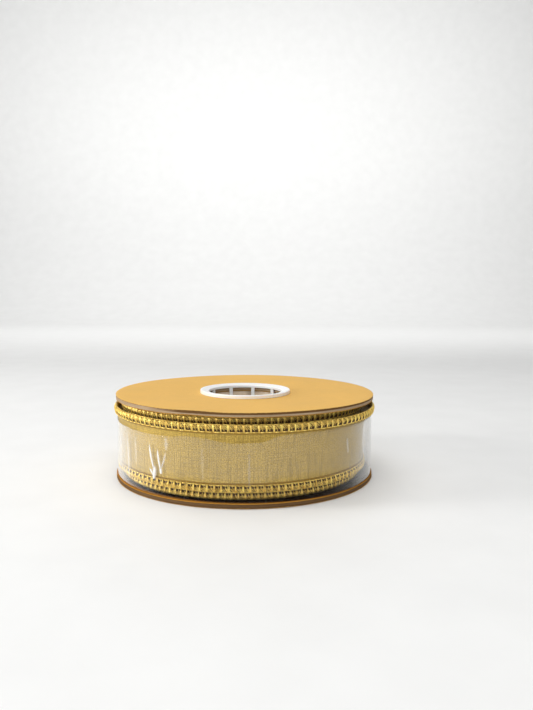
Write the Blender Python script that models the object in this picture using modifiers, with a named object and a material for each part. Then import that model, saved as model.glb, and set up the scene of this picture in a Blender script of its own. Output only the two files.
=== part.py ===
"""Ribbon spool lying on its lower flange.

Two kraft-faced board flanges, each drawn in a little at its middle, turn on a two-part plastic
hub with a board core tube. A wired ribbon is wound on the tube, its outermost turn is slack, and
a clear film sleeve surrounds it.
Metres, +Z up. The origin is on the spool's axis, at the surface that the spool stands on.
"""

import math

import bmesh
import bpy
from mathutils import Matrix, Vector

MM = 0.001
MERGE = 0.00001  # merge distance of every modifier, in metres

# Driving dimensions, in millimetres.
RUNNING_GAP = 0.3  # between pieces that touch or turn on each other
GLUE_LINE = 0.05  # between a board and its paper liner

FLANGE_RADIUS = 68.0
LINER = 0.2
BOARD = 1.8
FLANGE_THICKNESS = BOARD + 2 * (LINER + GLUE_LINE)
FLANGE_FOOT = 0.1  # the lower flange's underside above the surface
FLANGE_SPACE = 38.8  # between the rims of the two flanges
DISH = 1.1  # how far each flange is drawn in at the hub
DISH_FLAT = 24.5  # the flat middle of a dished flange
DISH_RADII = (34.0, 46.0, 58.0)  # rings where a flange's slope changes
TOP_FLANGE_Z = FLANGE_FOOT + FLANGE_THICKNESS + FLANGE_SPACE

CORE_INNER = 21.0
CORE_OUTER = 24.0

RIM_INNER = 19.5
RIM_OUTER = 24.1
RIM_HEIGHT = 1.8
RIM_FLAT_INNER = 23.0  # inside this radius the rim falls away towards the hole
RIM_INNER_HEIGHT = 1.1
RIM_ROUND_OUTER = 0.5
RIM_ROUND_INNER = 0.4
COLLAR = 0.25  # the rim's reach into the flange's hole
FINGERS = 10
FINGER_TURN = math.radians(77.5)  # the first finger, from +X
FINGER_WIDTH = 1.9
FINGER_INNER = 19.75
FINGER_OUTER = 20.7
FINGER_LENGTH = 17.0
FINGER_ROOT = 0.7  # how far a finger runs up into its rim

TAPE = 0.15
TAPE_ANGLE = math.radians(40.0)
TAPE_HEIGHT = 28.0

# The ribbon's tight inner turns: radii, and the heights of web and edgings.
WOUND_INNER = 24.9
WOUND_WEB_RADIUS = 63.0
WOUND_WEB_Z = (5.9, 37.7)
WOUND_TOP_RADIUS = 64.9
WOUND_TOP_Z = (38.0, 40.6)
WOUND_BOTTOM_RADIUS = 64.3
WOUND_BOTTOM_Z = (3.2, 5.6)
WOUND_RADII = (34.0, 46.0)  # rings where the edgings' slope changes

# The slack outer turn: mid-surface of its web as (radius, height), top to bottom.
OUTER_WEB = [(67.05, 37.9), (67.05, 34.0), (66.6, 31.0), (65.6, 27.0), (65.1, 20.0), (64.5, 12.0), (64.1, 7.4)]
WEB = 0.35
EDGING_WALL = 0.35
TOP_EDGING_RADIUS = 68.65
TOP_EDGING_DEPTH = 1.1
TOP_EDGING_Z = (34.0, 38.4)
BOTTOM_EDGING_RADIUS = 65.85
BOTTOM_EDGING_DEPTH = 0.87
BOTTOM_EDGING_Z = (7.0, 11.4)
EDGE_WIRE_RADIUS = 0.18
TOP_WIRE_TURN_RADIUS = 67.8
BOTTOM_WIRE_TURN_RADIUS = 65.12

FILM = 0.25
FILM_RADIUS = 67.65
FILM_TOP = 31.0

# Facets around the axis.
FLANGE_STEPS = 72
HUB_STEPS = 60
ROUND_STEPS = 3  # along each rounded edge of a rim


def clear_scene():
    for obj in list(bpy.data.objects):
        bpy.data.objects.remove(obj, do_unlink=True)


def collection(name):
    made = bpy.data.collections.new(name)
    bpy.context.scene.collection.children.link(made)
    return made


def material(name, colour, roughness, metallic=0.0, alpha=1.0):
    made = bpy.data.materials.new(name)
    made.use_nodes = True
    shader = made.node_tree.nodes["Principled BSDF"]
    shader.inputs["Base Color"].default_value = (*colour, 1.0)
    shader.inputs["Roughness"].default_value = roughness
    shader.inputs["Metallic"].default_value = metallic
    shader.inputs["Alpha"].default_value = alpha
    return made


def empty(name, parts, z=0.0):
    made = bpy.data.objects.new(name, None)
    made.empty_display_size = 0.02
    made.location.z = z * MM
    parts.objects.link(made)
    return made


def add_object(name, mesh, look, parts, parent=None, z=0.0):
    """A named object of the spool, z millimetres above its parent's origin."""
    made = bpy.data.objects.new(name, mesh)
    made.data.materials.append(look)
    made.location.z = z * MM
    made.parent = parent
    parts.objects.link(made)
    return made


def profile_mesh(name, points, closed):
    """A profile in the XZ plane at +X, from (radius, height) points in millimetres."""
    mesh = bpy.data.meshes.new(name)
    verts = [(radius * MM, 0.0, height * MM) for radius, height in points]
    edges = [(i, i + 1) for i in range(len(points) - 1)]
    if closed:
        edges.append((len(points) - 1, 0))
    mesh.from_pydata(verts, edges, [])
    return mesh


def add_screw(obj, steps, angle=2 * math.pi):
    screw = obj.modifiers.new("Screw", "SCREW")
    screw.axis = "Z"
    screw.angle = angle
    screw.steps = steps
    screw.render_steps = steps
    screw.use_merge_vertices = True
    screw.merge_threshold = MERGE
    screw.use_smooth_shade = True
    return screw


def turned_solid(name, points, look, parts, parent=None, z=0.0, steps=FLANGE_STEPS):
    """A solid of revolution from a closed profile that runs down its outer side."""
    made = add_object(name, profile_mesh(name, points, closed=True), look, parts, parent, z)
    add_screw(made, steps)
    return made


def turned_shell(name, points, thickness, look, parts, parent=None, offset=0.0):
    """A thin wall of revolution from an open profile that runs top to bottom."""
    made = add_object(name, profile_mesh(name, points, closed=False), look, parts, parent)
    add_screw(made, FLANGE_STEPS)
    wall = made.modifiers.new("Wall", "SOLIDIFY")
    wall.thickness = thickness * MM
    wall.offset = offset
    return made


def ring_profile(inner, outer, bottom, top):
    return [(inner, top), (outer, top), (outer, bottom), (inner, bottom)]


def dish(radius):
    """How far a flange is drawn in at this radius."""
    share = (FLANGE_RADIUS - max(radius, DISH_FLAT)) / (FLANGE_RADIUS - DISH_FLAT)
    return DISH * share ** 1.5


def dished_profile(upper_inner, lower_inner, bottom, top, way):
    """Section of a dished disc; way is 1 where the middle is raised and -1 where it is lowered."""
    radii = (DISH_FLAT, *DISH_RADII, FLANGE_RADIUS)
    upper = [(radius, top + way * dish(radius)) for radius in (upper_inner, *radii)]
    lower = [(radius, bottom + way * dish(radius)) for radius in (lower_inner, *radii)]
    return upper + lower[::-1]


def quarter_arc(centre, radius, start):
    """A quarter circle that turns clockwise from the angle start, in degrees."""
    points = []
    for step in range(ROUND_STEPS + 1):
        angle = math.radians(start - 90.0 * step / ROUND_STEPS)
        points.append((centre[0] + radius * math.cos(angle), centre[1] + radius * math.sin(angle)))
    return points


def build_flange(name, z, looks, parts, hub_seat=None):
    """A board disc with a paper liner on each face, on an empty on the spool's axis.

    hub_seat is the (radius, height) of the seat that a hub rim is pressed into from below.
    """
    centre = empty(name, parts, z)
    upper = "outer" if hub_seat is None else "inner"
    lower = "inner" if hub_seat is None else "outer"
    way = -1.0 if hub_seat is None else 1.0
    lower_hole = CORE_INNER if hub_seat is None else hub_seat[0]
    board_z = LINER + GLUE_LINE
    board = dished_profile(CORE_INNER, lower_hole, 0.0, BOARD, way)
    if hub_seat is not None:
        seat_top = hub_seat[1] - board_z
        board += [(hub_seat[0], seat_top), (CORE_INNER, seat_top)]
    turned_solid(f"{name}_board", board, looks["board"], parts, centre, board_z)
    liner = dished_profile(lower_hole, lower_hole, 0.0, LINER, way)
    turned_solid(f"{name}_{lower}_liner", liner, looks["kraft"], parts, centre)
    liner = dished_profile(CORE_INNER, CORE_INNER, 0.0, LINER, way)
    upper_z = board_z + BOARD + GLUE_LINE
    turned_solid(f"{name}_{upper}_liner", liner, looks["kraft"], parts, centre, upper_z)


def rim_profile():
    """Half section of a hub rim that rests on a flange at height 0, with a collar in its hole."""
    inner = (RIM_INNER + RIM_ROUND_INNER, RIM_INNER_HEIGHT - RIM_ROUND_INNER)
    outer = (RIM_OUTER - RIM_ROUND_OUTER, RIM_HEIGHT - RIM_ROUND_OUTER)
    points = [(RIM_INNER, -COLLAR)]
    points += quarter_arc(inner, RIM_ROUND_INNER, 180.0)
    points.append((RIM_FLAT_INNER, RIM_HEIGHT))
    points += quarter_arc(outer, RIM_ROUND_OUTER, 90.0)
    points += [(RIM_OUTER, 0.0), (FINGER_OUTER, 0.0), (FINGER_OUTER, -COLLAR)]
    return points


def finger_mesh(name, side):
    """All the fingers of one hub ring; side is -1 where they hang down and 1 where they rise."""
    mesh = bpy.data.meshes.new(name)
    shape = bmesh.new()
    size = Vector((FINGER_OUTER - FINGER_INNER, FINGER_WIDTH, FINGER_LENGTH + FINGER_ROOT)) * MM
    middle_radius = (FINGER_INNER + FINGER_OUTER) / 2
    middle_height = side * (FINGER_LENGTH - FINGER_ROOT) / 2
    middle = Vector((middle_radius, 0.0, middle_height)) * MM
    for finger in range(FINGERS):
        turn = Matrix.Rotation(FINGER_TURN + 2 * math.pi * finger / FINGERS, 4, "Z")
        place = turn @ Matrix.Translation(middle) @ Matrix.Diagonal(size).to_4x4()
        bmesh.ops.create_cube(shape, size=1.0, matrix=place)
    shape.to_mesh(mesh)
    shape.free()
    return mesh


def build_hub_ring(name, z, side, look, parts, cutters):
    """A rounded rim that rests on its flange at height z, joined to a crown of thin fingers."""
    points = rim_profile()
    if side > 0:
        points = [(radius, -height) for radius, height in reversed(points)]
    ring = turned_solid(name, points, look, parts, z=z, steps=HUB_STEPS)
    fingers = bpy.data.objects.new(f"{name}_fingers", finger_mesh(f"{name}_fingers", side))
    fingers.location.z = z * MM
    fingers.hide_render = True
    fingers.display_type = "WIRE"
    cutters.objects.link(fingers)
    union = ring.modifiers.new("Fingers", "BOOLEAN")
    union.operation = "UNION"
    union.object = fingers


def build_hub(looks, parts, cutters):
    tube_bottom = FLANGE_FOOT + FLANGE_THICKNESS + DISH + RUNNING_GAP
    tube_top = TOP_FLANGE_Z - DISH - RUNNING_GAP
    tube = ring_profile(CORE_INNER, CORE_OUTER, tube_bottom, tube_top)
    turned_solid("core_tube", tube, looks["board"], parts, steps=HUB_STEPS)
    rim_rest = TOP_FLANGE_Z + FLANGE_THICKNESS - DISH + RUNNING_GAP / 2
    build_hub_ring("upper_hub_ring", rim_rest, -1, looks["hub"], parts, cutters)
    build_hub_ring("lower_hub_ring", RIM_HEIGHT, 1, looks["hub"], parts, cutters)


def build_start_tape(looks, parts):
    """The tape under the ribbon's first end, a curved strip just off the core tube."""
    radius = CORE_OUTER + RUNNING_GAP + TAPE
    middle = TOP_FLANGE_Z / 2
    points = [(radius, middle + TAPE_HEIGHT / 2), (radius, middle - TAPE_HEIGHT / 2)]
    tape = add_object("start_tape", profile_mesh("start_tape", points, closed=False), looks["tape"], parts)
    add_screw(tape, 8, TAPE_ANGLE)
    wall = tape.modifiers.new("Wall", "SOLIDIFY")
    wall.thickness = TAPE * MM
    wall.offset = -1.0


def build_wound_ribbon(looks, parts):
    """The tight inner turns: a woven body between two stacks of overlocked edges."""
    web = ring_profile(WOUND_INNER, WOUND_WEB_RADIUS, *WOUND_WEB_Z)
    turned_solid("wound_ribbon", web, looks["ribbon"], parts)
    radii = (WOUND_INNER, *WOUND_RADII, WOUND_TOP_RADIUS)
    top = [(radius, WOUND_TOP_Z[1] - dish(radius)) for radius in radii]
    top += [(WOUND_TOP_RADIUS, WOUND_TOP_Z[0]), (WOUND_INNER, WOUND_TOP_Z[0])]
    turned_solid("wound_top_edging", top, looks["thread"], parts)
    radii = (WOUND_BOTTOM_RADIUS, *WOUND_RADII[::-1], WOUND_INNER)
    bottom = [(WOUND_INNER, WOUND_BOTTOM_Z[1]), (WOUND_BOTTOM_RADIUS, WOUND_BOTTOM_Z[1])]
    bottom += [(radius, WOUND_BOTTOM_Z[0] + dish(radius)) for radius in radii]
    turned_solid("wound_bottom_edging", bottom, looks["thread"], parts)


def edging_profile(radius, depth, z):
    """An overlocked edge: a channel, open towards the axis, whose edge wire lies inside."""
    bottom, top = z
    inner = radius - depth
    wall = radius - EDGING_WALL
    return [
        (inner, top),
        (radius, top),
        (radius, bottom),
        (inner, bottom),
        (inner, bottom + EDGING_WALL),
        (wall, bottom + EDGING_WALL),
        (wall, top - EDGING_WALL),
        (inner, top - EDGING_WALL),
    ]


def build_edge_wire(name, radius, z, look, parts):
    """A thin ring of wire around the axis."""
    curve = bpy.data.curves.new(name, "CURVE")
    curve.dimensions = "3D"
    curve.bevel_depth = EDGE_WIRE_RADIUS * MM
    curve.bevel_resolution = 1
    spline = curve.splines.new("POLY")
    spline.points.add(FLANGE_STEPS - 1)
    spline.use_cyclic_u = True
    for step, point in enumerate(spline.points):
        angle = 2 * math.pi * step / FLANGE_STEPS
        point.co = (radius * MM * math.cos(angle), radius * MM * math.sin(angle), 0.0, 1.0)
    add_object(name, curve, look, parts, z=z)


def build_outer_turn(looks, parts):
    """The slack outermost turn: a thin web with an overlocked, wired edge at top and bottom."""
    turned_shell("outer_turn_web", OUTER_WEB, WEB, looks["ribbon"], parts)
    top = edging_profile(TOP_EDGING_RADIUS, TOP_EDGING_DEPTH, TOP_EDGING_Z)
    turned_solid("outer_turn_top_edging", top, looks["thread"], parts)
    bottom = edging_profile(BOTTOM_EDGING_RADIUS, BOTTOM_EDGING_DEPTH, BOTTOM_EDGING_Z)
    turned_solid("outer_turn_bottom_edging", bottom, looks["thread"], parts)
    top_z = sum(TOP_EDGING_Z) / 2
    build_edge_wire("top_edge_wire", TOP_WIRE_TURN_RADIUS, top_z, looks["wire"], parts)
    bottom_z = sum(BOTTOM_EDGING_Z) / 2
    build_edge_wire("bottom_edge_wire", BOTTOM_WIRE_TURN_RADIUS, bottom_z, looks["wire"], parts)


def build_film(looks, parts):
    """The clear sleeve, which stands on the lower flange and turns around the ribbon."""
    centre = empty("film", parts)
    bottom = FLANGE_FOOT + FLANGE_THICKNESS + RUNNING_GAP
    points = [(FILM_RADIUS, FILM_TOP), (FILM_RADIUS, bottom)]
    turned_shell("film_sleeve", points, FILM, looks["film"], parts, centre, offset=-1.0)


def make_looks():
    return {
        "kraft": material("kraft_paper", (0.72, 0.50, 0.24), 0.8),
        "board": material("greyboard", (0.33, 0.25, 0.19), 0.9),
        "hub": material("hub_plastic", (0.80, 0.79, 0.76), 0.35),
        "tape": material("tape", (0.70, 0.66, 0.55), 0.4),
        "ribbon": material("ribbon_fabric", (0.55, 0.42, 0.17), 0.6),
        "thread": material("edging_thread", (0.68, 0.50, 0.20), 0.5),
        "wire": material("edge_wire", (0.55, 0.50, 0.42), 0.35, metallic=1.0),
        "film": material("clear_film", (0.90, 0.90, 0.88), 0.08, alpha=0.25),
    }


def main():
    clear_scene()
    parts = collection("ribbon_spool")
    cutters = collection("cutters")
    looks = make_looks()
    hub_seat = (RIM_OUTER + RUNNING_GAP, RIM_HEIGHT + RUNNING_GAP - FLANGE_FOOT)
    build_flange("bottom_flange", FLANGE_FOOT, looks, parts, hub_seat)
    build_flange("top_flange", TOP_FLANGE_Z, looks, parts)
    build_hub(looks, parts, cutters)
    build_start_tape(looks, parts)
    build_wound_ribbon(looks, parts)
    build_outer_turn(looks, parts)
    build_film(looks, parts)


main()
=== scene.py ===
"""Looks of the ribbon spool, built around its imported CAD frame.

The ribbon is modelled as the strip it is: wound on the core, then one slack outer turn, with real
overlock stitches along both edges. Metres, +Z up, -Y towards the viewer.
"""

import math

import bpy
import numpy as np
from mathutils import Matrix, Vector


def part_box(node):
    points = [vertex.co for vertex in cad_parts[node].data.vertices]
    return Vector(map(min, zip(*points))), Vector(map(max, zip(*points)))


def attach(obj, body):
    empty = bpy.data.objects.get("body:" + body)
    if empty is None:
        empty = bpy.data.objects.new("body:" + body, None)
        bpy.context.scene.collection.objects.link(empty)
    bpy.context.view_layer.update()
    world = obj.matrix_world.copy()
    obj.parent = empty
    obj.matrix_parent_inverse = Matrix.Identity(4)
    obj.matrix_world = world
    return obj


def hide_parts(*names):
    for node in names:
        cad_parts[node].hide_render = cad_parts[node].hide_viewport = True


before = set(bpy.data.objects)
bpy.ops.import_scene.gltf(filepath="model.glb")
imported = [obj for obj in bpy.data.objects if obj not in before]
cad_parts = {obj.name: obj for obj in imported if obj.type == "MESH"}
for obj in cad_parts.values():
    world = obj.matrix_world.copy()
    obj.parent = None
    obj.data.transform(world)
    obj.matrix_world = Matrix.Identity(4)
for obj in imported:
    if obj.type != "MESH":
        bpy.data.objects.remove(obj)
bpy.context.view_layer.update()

MM = 0.001
TURN = 2.0 * math.pi
BACK = 0.5 * math.pi  # azimuth of the spool's far side, where the ribbon's turns step over

# Camera, fitted to the outlines of the two flanges, for an upright 3 by 4 picture.
CAMERA_DISTANCE = 0.35648
CAMERA_HEIGHT = 0.09572
CAMERA_YAW = math.radians(1.823)
CAMERA_PITCH = math.radians(5.30)
CAMERA_ROLL = math.radians(0.35)
LENS = 33.83

# The ribbon strip.
RIBBON_WIDTH = 30.8 * MM
WEB_THICKNESS = 0.22 * MM
WOUND_TURNS = 32
ROLL_SHIFT = (-1.7 * MM, -1.3 * MM)  # the outer turns sit off the axis, towards the left and front
EDGING_HEIGHT = 3.15 * MM  # from the needle line to the ribbon's edge
WEB_MARGIN = 0.4 * MM  # the web ends this far inside each edge of the ribbon
STRIP_START = 0.02 * TURN  # angle where the ribbon's first end lies on the core
LOW_HEM_REACH = 0.05 * MM  # the low turns' hem reaches this far past the ribbon's edge
STEPS_A_TURN = 120
HEM_HALF_THICKNESS = 0.36 * MM
STITCH_PITCH = 3.1 * MM
TAIL_OVERLAP = math.radians(24.0)
DISH_FLAT = 24.5 * MM  # the flat middle of a dished flange
WOUND_STEPS = WOUND_TURNS * STEPS_A_TURN
SLACK_START = WOUND_TURNS * TURN
SLACK_END = SLACK_START + TURN + TAIL_OVERLAP
FIRST_TOP_STITCH = SLACK_START - 1.08 * TURN
FIRST_BOTTOM_STITCH = SLACK_START - 2.08 * TURN


# ---- sizes from the frame


def round_node(node):
    """Outer radius, bottom and top of a round CAD node."""
    low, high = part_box(node)
    return high.x, low.z, high.z


FLANGE_RADIUS, _, TOP_BOARD_TOP = round_node("top_flange_board")
TOP_LINER_TOP = round_node("top_flange_outer_liner")[2]
CORE_RADIUS, CORE_BOTTOM, CORE_TOP = round_node("core_tube")
WOUND_RADIUS = round_node("wound_top_edging")[0]
FILM_RADIUS, FILM_BOTTOM, FILM_TOP = round_node("film_sleeve")


def ring_heights(node, inside):
    """Lowest and highest point of a CAD node within one radius."""
    heights = [v.co.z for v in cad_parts[node].data.vertices if v.co.xy.length < inside]
    return min(heights), max(heights)


DISH = TOP_LINER_TOP - ring_heights("top_flange_outer_liner", DISH_FLAT - 1.0 * MM)[1]


def dish(radius):
    """How far the flanges are drawn in at this radius."""
    share = (FLANGE_RADIUS - np.clip(radius, DISH_FLAT, FLANGE_RADIUS)) / (FLANGE_RADIUS - DISH_FLAT)
    return DISH * share ** 1.5


# ---- small maths


def smooth_step(value):
    value = np.clip(value, 0.0, 1.0)
    return value * value * (3.0 - 2.0 * value)


def curve_through(x, knots):
    """A smooth curve through (place, value) knots, flat at both ends."""
    places = np.array([knot[0] for knot in knots], float)
    values = np.array([knot[1] for knot in knots], float)
    slopes = np.zeros(len(knots))
    slopes[1:-1] = (values[2:] - values[:-2]) / (places[2:] - places[:-2])
    x = np.clip(x, places[0], places[-1])
    i = np.clip(np.searchsorted(places, x, side="right") - 1, 0, len(knots) - 2)
    gap = places[i + 1] - places[i]
    u = (x - places[i]) / gap
    return (
        values[i] * (1 + 2 * u) * (1 - u) ** 2
        + slopes[i] * gap * u * (1 - u) ** 2
        + values[i + 1] * u * u * (3 - 2 * u)
        + slopes[i + 1] * gap * u * u * (u - 1)
    )


def wave_sum(angle, seed, orders, height=0.0):
    """A smooth closed wobble around the axis, about -1 to 1, from a few sine waves."""
    chance = np.random.default_rng(seed)
    total = np.zeros_like(np.asarray(angle, float))
    for order in orders:
        phase, lean = chance.uniform(0, TURN), chance.uniform(-60.0, 60.0)
        total = total + np.sin(order * angle + phase + lean * height)
    return total / math.sqrt(len(orders))


def unit(vectors):
    return vectors / np.maximum(np.linalg.norm(vectors, axis=-1, keepdims=True), 1e-12)


# ---- meshes


def mesh_object(name, verts, quads, uvs=None):
    """A smooth mesh object from arrays: verts (n, 3), quads (m, 4), uvs (m, 4, 2) in metres."""
    mesh = bpy.data.meshes.new(name)
    mesh.vertices.add(len(verts))
    mesh.vertices.foreach_set("co", np.ascontiguousarray(verts, np.float32).ravel())
    mesh.loops.add(quads.size)
    mesh.loops.foreach_set("vertex_index", quads.astype(np.int32).ravel())
    mesh.polygons.add(len(quads))
    mesh.polygons.foreach_set("loop_start", np.arange(0, quads.size, 4, dtype=np.int32))
    mesh.polygons.foreach_set("loop_total", np.full(len(quads), 4, np.int32))
    if uvs is not None:
        layer = mesh.uv_layers.new(name="Along")
        layer.data.foreach_set("uv", np.ascontiguousarray(uvs, np.float32).ravel())
    mesh.update(calc_edges=True)
    mesh.validate()
    mesh.shade_smooth()
    made = bpy.data.objects.new(name, mesh)
    bpy.context.scene.collection.objects.link(made)
    return made


def grid_quads(rows, columns, close_rows, close_columns):
    """Corner indices of a grid's quads, and the (row, column) counts of each corner."""
    last_row = rows if close_rows else rows - 1
    last_column = columns if close_columns else columns - 1
    i, j = np.meshgrid(np.arange(last_row), np.arange(last_column), indexing="ij")
    i, j = i.ravel(), j.ravel()
    corner_rows = np.stack([i, i + 1, i + 1, i], axis=1)
    corner_columns = np.stack([j, j, j + 1, j + 1], axis=1)
    return (corner_rows % rows) * columns + corner_columns % columns, corner_rows, corner_columns


def grid_object(name, points, along=None, across=None, close_rows=False, close_columns=False):
    """A surface through points (rows, columns, 3), with optional lengths along and across it."""
    rows, columns = points.shape[:2]
    quads, corner_rows, corner_columns = grid_quads(rows, columns, close_rows, close_columns)
    uvs = None
    if along is not None:
        uvs = np.stack([along[corner_rows], across[corner_columns]], axis=-1)
    return mesh_object(name, points.reshape(-1, 3), quads, uvs)


def solidify(piece, thickness, offset=0.0):
    wall = piece.modifiers.new("Thickness", "SOLIDIFY")
    wall.thickness = thickness
    wall.offset = offset
    return piece


def lathe(name, profile, steps, shape=None):
    """A body of revolution from a closed (radius, height) profile that runs anticlockwise.

    shape(radius, height, angle) may move the points.
    """
    profile = np.array(profile, float)
    angle = np.linspace(0.0, TURN, steps, endpoint=False)
    angle, radius = np.meshgrid(angle, profile[:, 0], indexing="ij")
    height = np.broadcast_to(profile[:, 1], radius.shape)
    if shape is not None:
        radius, height = shape(radius, height, angle)
    points = np.stack([radius * np.cos(angle), radius * np.sin(angle), height], axis=-1)
    around = np.arange(steps + 1) / steps * TURN * float(profile[:, 0].max())
    steps_across = np.linalg.norm(np.diff(np.vstack([profile, profile[:1]]), axis=0), axis=1)
    across = np.concatenate([[0.0], np.cumsum(steps_across)])
    return grid_object(name, points, around, across, close_rows=True, close_columns=True)


TUBE_SIDES = 6


def tube_arrays(paths, radii, reference, flat=1.0):
    """Many round tubes with closed ends at once.

    paths is (k, n, 3), radii is (n,), reference points across each path, and flat squeezes
    the tubes along it.
    """
    count, length = paths.shape[:2]
    tangent = unit(np.gradient(paths, axis=1))
    side = unit(np.cross(tangent, reference))
    out = np.cross(side, tangent)
    turn = np.arange(TUBE_SIDES) / TUBE_SIDES * TURN
    radii = np.asarray(radii, float)[None, :, None, None]
    ring = np.cos(turn)[:, None] * side[:, :, None] + flat * np.sin(turn)[:, None] * out[:, :, None]
    verts = (paths[:, :, None] + radii * ring).reshape(-1, 3)
    wall, corner_rows, corner_columns = grid_quads(length, TUBE_SIDES, False, True)
    run = np.concatenate([[0.0], np.cumsum(np.linalg.norm(np.diff(paths[0], axis=0), axis=1))])
    wall_uv = np.stack([run[corner_rows], corner_columns / TUBE_SIDES], axis=-1)
    first = np.array([[0, 1, 2, 3], [0, 3, 4, 5]])
    last = first[:, ::-1] + (length - 1) * TUBE_SIDES
    quads = np.concatenate([wall[:, ::-1], first, last])
    cap_uv = np.zeros((4, 4, 2))
    uvs = np.concatenate([wall_uv[:, ::-1], cap_uv])
    starts = np.arange(count)[:, None, None] * length * TUBE_SIDES
    return verts, (quads[None] + starts).reshape(-1, 4), np.tile(uvs, (count, 1, 1))


def joined(name, parts):
    """One object from several (verts, quads, uvs) arrays."""
    verts, quads, uvs, start = [], [], [], 0
    for part_verts, part_quads, part_uvs in parts:
        verts.append(part_verts)
        quads.append(part_quads + start)
        uvs.append(part_uvs)
        start += len(part_verts)
    return mesh_object(name, np.concatenate(verts), np.concatenate(quads), np.concatenate(uvs))


# ---- node materials


class Look:
    """A Principled material with short ways to add nodes."""

    def __init__(self, name, **values):
        self.material = bpy.data.materials.new(name)
        self.material.use_nodes = True
        self.tree = self.material.node_tree
        self.shader = self.tree.nodes["Principled BSDF"]
        self.output = self.tree.nodes["Material Output"]
        for socket, value in values.items():
            self.shader.inputs[socket.replace("_", " ")].default_value = value

    def node(self, kind, inputs=None, **settings):
        made = self.tree.nodes.new(kind)
        for setting, value in settings.items():
            setattr(made, setting, value)
        for socket, value in (inputs or {}).items():
            self.feed(made.inputs[socket], value)
        return made

    def feed(self, socket, value):
        if isinstance(value, bpy.types.NodeSocket):
            self.tree.links.new(value, socket)
        else:
            socket.default_value = value

    def place(self, scale=(1.0, 1.0, 1.0), source="Object"):
        coordinates = self.node("ShaderNodeTexCoord").outputs[source]
        return self.node("ShaderNodeMapping", {"Vector": coordinates, "Scale": scale}).outputs["Vector"]

    def along(self, scale=(1.0, 1.0, 1.0)):
        """Coordinates that follow the piece: metres along it and across it."""
        coordinates = self.node("ShaderNodeUVMap", uv_map="Along").outputs["UV"]
        return self.node("ShaderNodeMapping", {"Vector": coordinates, "Scale": scale}).outputs["Vector"]

    def noise(self, vector, scale, detail=3.0, roughness=0.55):
        inputs = {"Vector": vector, "Scale": scale, "Detail": detail, "Roughness": roughness}
        return self.node("ShaderNodeTexNoise", inputs).outputs["Fac"]

    def ramp(self, factor, *stops):
        """Maps a factor to colours or greys at (place, colour or grey) stops."""
        made = self.node("ShaderNodeValToRGB", {"Fac": factor})
        elements = made.color_ramp.elements
        while len(elements) < len(stops):
            elements.new(0.5)
        for element, (place, value) in zip(elements, stops):
            element.position = place
            grey = isinstance(value, (int, float))
            element.color = (value, value, value, 1.0) if grey else (*value, 1.0)
        return made.outputs["Color"]

    def mix(self, factor, first, second, blend="MIX"):
        made = self.node("ShaderNodeMix", data_type="RGBA", blend_type=blend)
        self.feed(made.inputs["Factor"], factor)
        for socket, value in ((6, first), (7, second)):
            self.feed(made.inputs[socket], (*value, 1.0) if isinstance(value, tuple) else value)
        return made.outputs[2]

    def maths(self, operation, first, second=0.0):
        made = self.node("ShaderNodeMath", operation=operation)
        self.feed(made.inputs[0], first)
        self.feed(made.inputs[1], second)
        return made.outputs[0]

    def between(self, value, start, end, low=0.0, high=1.0):
        """Maps start..end to low..high and holds the ends."""
        inputs = {"Value": value, "From Min": start, "From Max": end, "To Min": low, "To Max": high}
        return self.node("ShaderNodeMapRange", inputs).outputs[0]

    def spread(self, value, low, high):
        """Maps 0..1 to low..high."""
        return self.between(value, 0.0, 1.0, low, high)

    def part(self, vector, axis):
        return self.node("ShaderNodeSeparateXYZ", {"Vector": vector}).outputs[axis]

    def bump(self, height, distance, strength=1.0, under=None):
        made = self.node("ShaderNodeBump", {"Height": height, "Distance": distance, "Strength": strength})
        if under is not None:
            self.feed(made.inputs["Normal"], under)
        return made.outputs["Normal"]

    def shade(self, **links):
        for socket, value in links.items():
            self.feed(self.shader.inputs[socket.replace("_", " ")], value)
        return self.material


PAINTED_SHADE_RIM = (FLANGE_RADIUS - 2.4 * MM, FLANGE_RADIUS - 0.9 * MM)  # where the painted shade on the inner face gives way to its paler rim
PAINTED_SHADE_SHIFT = (0.0012, 0.0, 0.0)  # and the painted shade is centred this far off the axis, so it reaches less far in on the window's side


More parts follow.
